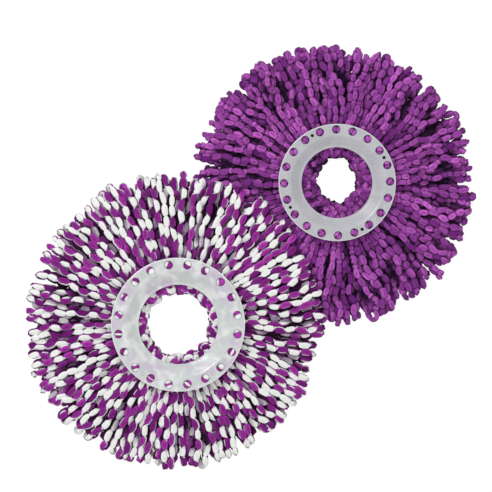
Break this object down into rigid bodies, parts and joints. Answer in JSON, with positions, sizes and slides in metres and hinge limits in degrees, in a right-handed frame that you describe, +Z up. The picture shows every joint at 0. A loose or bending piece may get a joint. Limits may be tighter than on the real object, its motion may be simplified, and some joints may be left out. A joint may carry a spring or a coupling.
{
  "type": "spin mop head pair",
  "caption": "Pair of round spin mop refill heads: plastic rings with tufts of looped yarn in holes, one head's fringe lying on the other's.",
  "frame": {"origin": "middle of the pair's footprint, on the floor", "axes": "+Z up along both rings' axes; +X and +Y are the right and the top of the pair as it is seen from above, with the front head at lower left"},
  "size_m": [0.4438, 0.4188, 0.0228],
  "materials": {
    "ring_front": "frosted translucent, smooth",
    "ring_rear": "satin, slightly translucent",
    "carrier_rear": "black, smooth; only its pins show",
    "yarn_front": "looped microfibre yarn, purple and white plies",
    "yarn_rear": "looped microfibre yarn, purple"
  },
  "bodies": {
    "root": {"rear_upper_ring": "ring_rear", "rear_carrier_ring": "carrier_rear", "rear_tuft_loops": "yarn_rear", "rear_tuft_roots": "yarn_rear", "rear_inner_fringe": "yarn_rear", "rear_tuft_11": "yarn_rear", "rear_tuft_12": "yarn_rear", "rear_tuft_13": "yarn_rear", "rear_tuft_14": "yarn_rear", "rear_tuft_15": "yarn_rear", "rear_tuft_16": "yarn_rear"},
    "front_head": {"front_upper_ring": "ring_front", "front_carrier_ring": "ring_front", "front_tuft_loops": "yarn_front", "front_tuft_roots": "yarn_front", "front_inner_fringe": "yarn_front"},
    "front_tuft_01": {"front_tuft_01": "yarn_front"},
    "front_tuft_02": {"front_tuft_02": "yarn_front"},
    "front_tuft_03": {"front_tuft_03": "yarn_front"},
    "front_tuft_04": {"front_tuft_04": "yarn_front"},
    "front_tuft_05": {"front_tuft_05": "yarn_front"},
    "front_tuft_06": {"front_tuft_06": "yarn_front"},
    "front_tuft_07": {"front_tuft_07": "yarn_front"},
    "front_tuft_08": {"front_tuft_08": "yarn_front"},
    "front_tuft_09": {"front_tuft_09": "yarn_front"},
    "front_tuft_10": {"front_tuft_10": "yarn_front"},
    "front_tuft_11": {"front_tuft_11": "yarn_front"},
    "front_tuft_12": {"front_tuft_12": "yarn_front"},
    "front_tuft_13": {"front_tuft_13": "yarn_front"},
    "front_tuft_14": {"front_tuft_14": "yarn_front"},
    "front_tuft_15": {"front_tuft_15": "yarn_front"},
    "front_tuft_16": {"front_tuft_16": "yarn_front"},
    "front_tuft_17": {"front_tuft_17": "yarn_front"},
    "front_tuft_18": {"front_tuft_18": "yarn_front"},
    "front_tuft_19": {"front_tuft_19": "yarn_front"},
    "front_tuft_20": {"front_tuft_20": "yarn_front"},
    "rear_tuft_01": {"rear_tuft_01": "yarn_rear"},
    "rear_tuft_02": {"rear_tuft_02": "yarn_rear"},
    "rear_tuft_03": {"rear_tuft_03": "yarn_rear"},
    "rear_tuft_04": {"rear_tuft_04": "yarn_rear"},
    "rear_tuft_05": {"rear_tuft_05": "yarn_rear"},
    "rear_tuft_06": {"rear_tuft_06": "yarn_rear"},
    "rear_tuft_07": {"rear_tuft_07": "yarn_rear"},
    "rear_tuft_08": {"rear_tuft_08": "yarn_rear"},
    "rear_tuft_09": {"rear_tuft_09": "yarn_rear"},
    "rear_tuft_10": {"rear_tuft_10": "yarn_rear"},
    "rear_tuft_17": {"rear_tuft_17": "yarn_rear"},
    "rear_tuft_18": {"rear_tuft_18": "yarn_rear"},
    "rear_tuft_19": {"rear_tuft_19": "yarn_rear"},
    "rear_tuft_20": {"rear_tuft_20": "yarn_rear"}
  },
  "joints": [
    {"name": "front_head_lift", "type": "slide", "parent": "root", "child": "front_head", "axis": [0, 0, 1], "range_m": [0, 0.12]},
    {"name": "front_tuft_01_droop", "type": "hinge", "parent": "front_head", "child": "front_tuft_01", "pos_m": [-0.00374, -0.05898, 0.01345], "axis": [-0.1564, 0.9877, 0], "range_deg": [0, 55.01]},
    {"name": "front_tuft_02_droop", "type": "hinge", "parent": "front_head", "child": "front_tuft_02", "pos_m": [-0.0104, -0.03849, 0.01345], "axis": [-0.454, 0.891, 0], "range_deg": [0, 55.01]},
    {"name": "front_tuft_03_droop", "type": "hinge", "parent": "front_head", "child": "front_tuft_03", "pos_m": [-0.02306, -0.02106, 0.01345], "axis": [-0.7071, 0.7071, 0], "range_deg": [0, 55.01]},
    {"name": "front_tuft_04_droop", "type": "hinge", "parent": "front_head", "child": "front_tuft_04", "pos_m": [-0.04049, -0.0084, 0.01345], "axis": [-0.891, 0.454, 0], "range_deg": [0, 55.01]},
    {"name": "front_tuft_05_droop", "type": "hinge", "parent": "front_head", "child": "front_tuft_05", "pos_m": [-0.06097, -0.00175, 0.01345], "axis": [-0.9877, 0.1564, 0], "range_deg": [0, 55.01]},
    {"name": "front_tuft_06_droop", "type": "hinge", "parent": "front_head", "child": "front_tuft_06", "pos_m": [-0.08321, 0.00265, 0.009], "axis": [-0.9877, -0.1564, 0], "range_deg": [0, 55.01]},
    {"name": "front_tuft_07_droop", "type": "hinge", "parent": "front_head", "child": "front_tuft_07", "pos_m": [-0.10502, -0.00444, 0.009], "axis": [-0.891, -0.454, 0], "range_deg": [0, 55.01]},
    {"name": "front_tuft_08_droop", "type": "hinge", "parent": "front_head", "child": "front_tuft_08", "pos_m": [-0.12358, -0.01792, 0.009], "axis": [-0.7071, -0.7071, 0], "range_deg": [0, 55.01]},
    {"name": "front_tuft_09_droop", "type": "hinge", "parent": "front_head", "child": "front_tuft_09", "pos_m": [-0.13706, -0.03647, 0.009], "axis": [-0.454, -0.891, 0], "range_deg": [0, 55.01]},
    {"name": "front_tuft_10_droop", "type": "hinge", "parent": "front_head", "child": "front_tuft_10", "pos_m": [-0.14414, -0.05828, 0.009], "axis": [-0.1564, -0.9877, 0], "range_deg": [0, 55.01]},
    {"name": "front_tuft_11_droop", "type": "hinge", "parent": "front_head", "child": "front_tuft_11", "pos_m": [-0.14414, -0.08121, 0.009], "axis": [0.1564, -0.9877, 0], "range_deg": [0, 55.01]},
    {"name": "front_tuft_12_droop", "type": "hinge", "parent": "front_head", "child": "front_tuft_12", "pos_m": [-0.13706, -0.10303, 0.009], "axis": [0.454, -0.891, 0], "range_deg": [0, 55.01]},
    {"name": "front_tuft_13_droop", "type": "hinge", "parent": "front_head", "child": "front_tuft_13", "pos_m": [-0.12358, -0.12158, 0.009], "axis": [0.7071, -0.7071, 0], "range_deg": [0, 55.01]},
    {"name": "front_tuft_14_droop", "type": "hinge", "parent": "front_head", "child": "front_tuft_14", "pos_m": [-0.10502, -0.13506, 0.009], "axis": [0.891, -0.454, 0], "range_deg": [0, 55.01]},
    {"name": "front_tuft_15_droop", "type": "hinge", "parent": "front_head", "child": "front_tuft_15", "pos_m": [-0.08321, -0.14215, 0.009], "axis": [0.9877, -0.1564, 0], "range_deg": [0, 55.01]},
    {"name": "front_tuft_16_droop", "type": "hinge", "parent": "front_head", "child": "front_tuft_16", "pos_m": [-0.06028, -0.14215, 0.009], "axis": [0.9877, 0.1564, 0], "range_deg": [0, 55.01]},
    {"name": "front_tuft_17_droop", "type": "hinge", "parent": "front_head", "child": "front_tuft_17", "pos_m": [-0.03847, -0.13506, 0.009], "axis": [0.891, 0.454, 0], "range_deg": [0, 55.01]},
    {"name": "front_tuft_18_droop", "type": "hinge", "parent": "front_head", "child": "front_tuft_18", "pos_m": [-0.01991, -0.12158, 0.009], "axis": [0.7071, 0.7071, 0], "range_deg": [0, 55.01]},
    {"name": "front_tuft_19_droop", "type": "hinge", "parent": "front_head", "child": "front_tuft_19", "pos_m": [-0.00643, -0.10303, 0.009], "axis": [0.454, 0.891, 0], "range_deg": [0, 55.01]},
    {"name": "front_tuft_20_droop", "type": "hinge", "parent": "front_head", "child": "front_tuft_20", "pos_m": [0.00065, -0.08121, 0.009], "axis": [0.1564, 0.9877, 0], "range_deg": [0, 55.01]},
    {"name": "rear_tuft_01_fold", "type": "hinge", "parent": "root", "child": "rear_tuft_01", "pos_m": [0.15225, 0.07368, 0.008], "axis": [0.0175, -0.9998, 0], "range_deg": [0, 50]},
    {"name": "rear_tuft_02_fold", "type": "hinge", "parent": "root", "child": "rear_tuft_02", "pos_m": [0.14873, 0.09362, 0.008], "axis": [0.3256, -0.9455, 0], "range_deg": [0, 50.01]},
    {"name": "rear_tuft_03_fold", "type": "hinge", "parent": "root", "child": "rear_tuft_03", "pos_m": [0.13923, 0.11149, 0.008], "axis": [0.6018, -0.7986, 0], "range_deg": [0, 50.01]},
    {"name": "rear_tuft_04_fold", "type": "hinge", "parent": "root", "child": "rear_tuft_04", "pos_m": [0.12467, 0.12555, 0.008], "axis": [0.8192, -0.5736, 0], "range_deg": [0, 50.01]},
    {"name": "rear_tuft_05_fold", "type": "hinge", "parent": "root", "child": "rear_tuft_05", "pos_m": [0.10647, 0.13442, 0.008], "axis": [0.9563, -0.2924, 0], "range_deg": [0, 50.01]},
    {"name": "rear_tuft_06_fold", "type": "hinge", "parent": "root", "child": "rear_tuft_06", "pos_m": [0.08643, 0.13724, 0.008], "axis": [0.9998, 0.0175, 0], "range_deg": [0, 50.01]},
    {"name": "rear_tuft_07_fold", "type": "hinge", "parent": "root", "child": "rear_tuft_07", "pos_m": [0.06649, 0.13373, 0.008], "axis": [0.9455, 0.3256, 0], "range_deg": [0, 50.01]},
    {"name": "rear_tuft_08_fold", "type": "hinge", "parent": "root", "child": "rear_tuft_08", "pos_m": [0.04862, 0.12422, 0.008], "axis": [0.7986, 0.6018, 0], "range_deg": [0, 50.01]},
    {"name": "rear_tuft_09_fold", "type": "hinge", "parent": "root", "child": "rear_tuft_09", "pos_m": [0.03456, 0.10966, 0.008], "axis": [0.5736, 0.8192, 0], "range_deg": [0, 50.01]},
    {"name": "rear_tuft_10_fold", "type": "hinge", "parent": "root", "child": "rear_tuft_10", "pos_m": [0.02568, 0.09147, 0.008], "axis": [0.2924, 0.9563, 0], "range_deg": [0, 50.01]},
    {"name": "rear_tuft_17_fold", "type": "hinge", "parent": "root", "child": "rear_tuft_17", "pos_m": [0.10862, 0.01138, 0.008], "axis": [-0.9455, -0.3256, 0], "range_deg": [0, 50.01]},
    {"name": "rear_tuft_18_fold", "type": "hinge", "parent": "root", "child": "rear_tuft_18", "pos_m": [0.12649, 0.02088, 0.008], "axis": [-0.7986, -0.6018, 0], "range_deg": [0, 50.01]},
    {"name": "rear_tuft_19_fold", "type": "hinge", "parent": "root", "child": "rear_tuft_19", "pos_m": [0.14056, 0.03544, 0.008], "axis": [-0.5736, -0.8192, 0], "range_deg": [0, 50.01]},
    {"name": "rear_tuft_20_fold", "type": "hinge", "parent": "root", "child": "rear_tuft_20", "pos_m": [0.14943, 0.05364, 0.008], "axis": [-0.2924, -0.9563, 0], "range_deg": [0, 50.01]}
  ],
  "couplings": [
    {"joint": "front_tuft_01_droop", "follows": "front_head_lift", "rad_per_m": 7.9994},
    {"joint": "front_tuft_02_droop", "follows": "front_head_lift", "rad_per_m": 7.9994},
    {"joint": "front_tuft_03_droop", "follows": "front_head_lift", "rad_per_m": 7.9994},
    {"joint": "front_tuft_04_droop", "follows": "front_head_lift", "rad_per_m": 7.9994},
    {"joint": "front_tuft_05_droop", "follows": "front_head_lift", "rad_per_m": 7.9994},
    {"joint": "front_tuft_06_droop", "follows": "front_head_lift", "rad_per_m": 7.9994},
    {"joint": "front_tuft_07_droop", "follows": "front_head_lift", "rad_per_m": 7.9994},
    {"joint": "front_tuft_08_droop", "follows": "front_head_lift", "rad_per_m": 7.9994},
    {"joint": "front_tuft_09_droop", "follows": "front_head_lift", "rad_per_m": 7.9994},
    {"joint": "front_tuft_10_droop", "follows": "front_head_lift", "rad_per_m": 7.9994},
    {"joint": "front_tuft_11_droop", "follows": "front_head_lift", "rad_per_m": 7.9994},
    {"joint": "front_tuft_12_droop", "follows": "front_head_lift", "rad_per_m": 7.9994},
    {"joint": "front_tuft_13_droop", "follows": "front_head_lift", "rad_per_m": 7.9994},
    {"joint": "front_tuft_14_droop", "follows": "front_head_lift", "rad_per_m": 7.9994},
    {"joint": "front_tuft_15_droop", "follows": "front_head_lift", "rad_per_m": 7.9994},
    {"joint": "front_tuft_16_droop", "follows": "front_head_lift", "rad_per_m": 7.9994},
    {"joint": "front_tuft_17_droop", "follows": "front_head_lift", "rad_per_m": 7.9994},
    {"joint": "front_tuft_18_droop", "follows": "front_head_lift", "rad_per_m": 7.9994},
    {"joint": "front_tuft_19_droop", "follows": "front_head_lift", "rad_per_m": 7.9994},
    {"joint": "front_tuft_20_droop", "follows": "front_head_lift", "rad_per_m": 7.9994},
    {"joint": "rear_tuft_02_fold", "follows": "rear_tuft_01_fold", "ratio": 1},
    {"joint": "rear_tuft_03_fold", "follows": "rear_tuft_01_fold", "ratio": 1},
    {"joint": "rear_tuft_04_fold", "follows": "rear_tuft_01_fold", "ratio": 1},
    {"joint": "rear_tuft_05_fold", "follows": "rear_tuft_01_fold", "ratio": 1},
    {"joint": "rear_tuft_06_fold", "follows": "rear_tuft_01_fold", "ratio": 1},
    {"joint": "rear_tuft_07_fold", "follows": "rear_tuft_01_fold", "ratio": 1},
    {"joint": "rear_tuft_08_fold", "follows": "rear_tuft_01_fold", "ratio": 1},
    {"joint": "rear_tuft_09_fold", "follows": "rear_tuft_01_fold", "ratio": 1},
    {"joint": "rear_tuft_10_fold", "follows": "rear_tuft_01_fold", "ratio": 1},
    {"joint": "rear_tuft_17_fold", "follows": "rear_tuft_01_fold", "ratio": 1},
    {"joint": "rear_tuft_18_fold", "follows": "rear_tuft_01_fold", "ratio": 1},
    {"joint": "rear_tuft_19_fold", "follows": "rear_tuft_01_fold", "ratio": 1},
    {"joint": "rear_tuft_20_fold", "follows": "rear_tuft_01_fold", "ratio": 1}
  ]
}
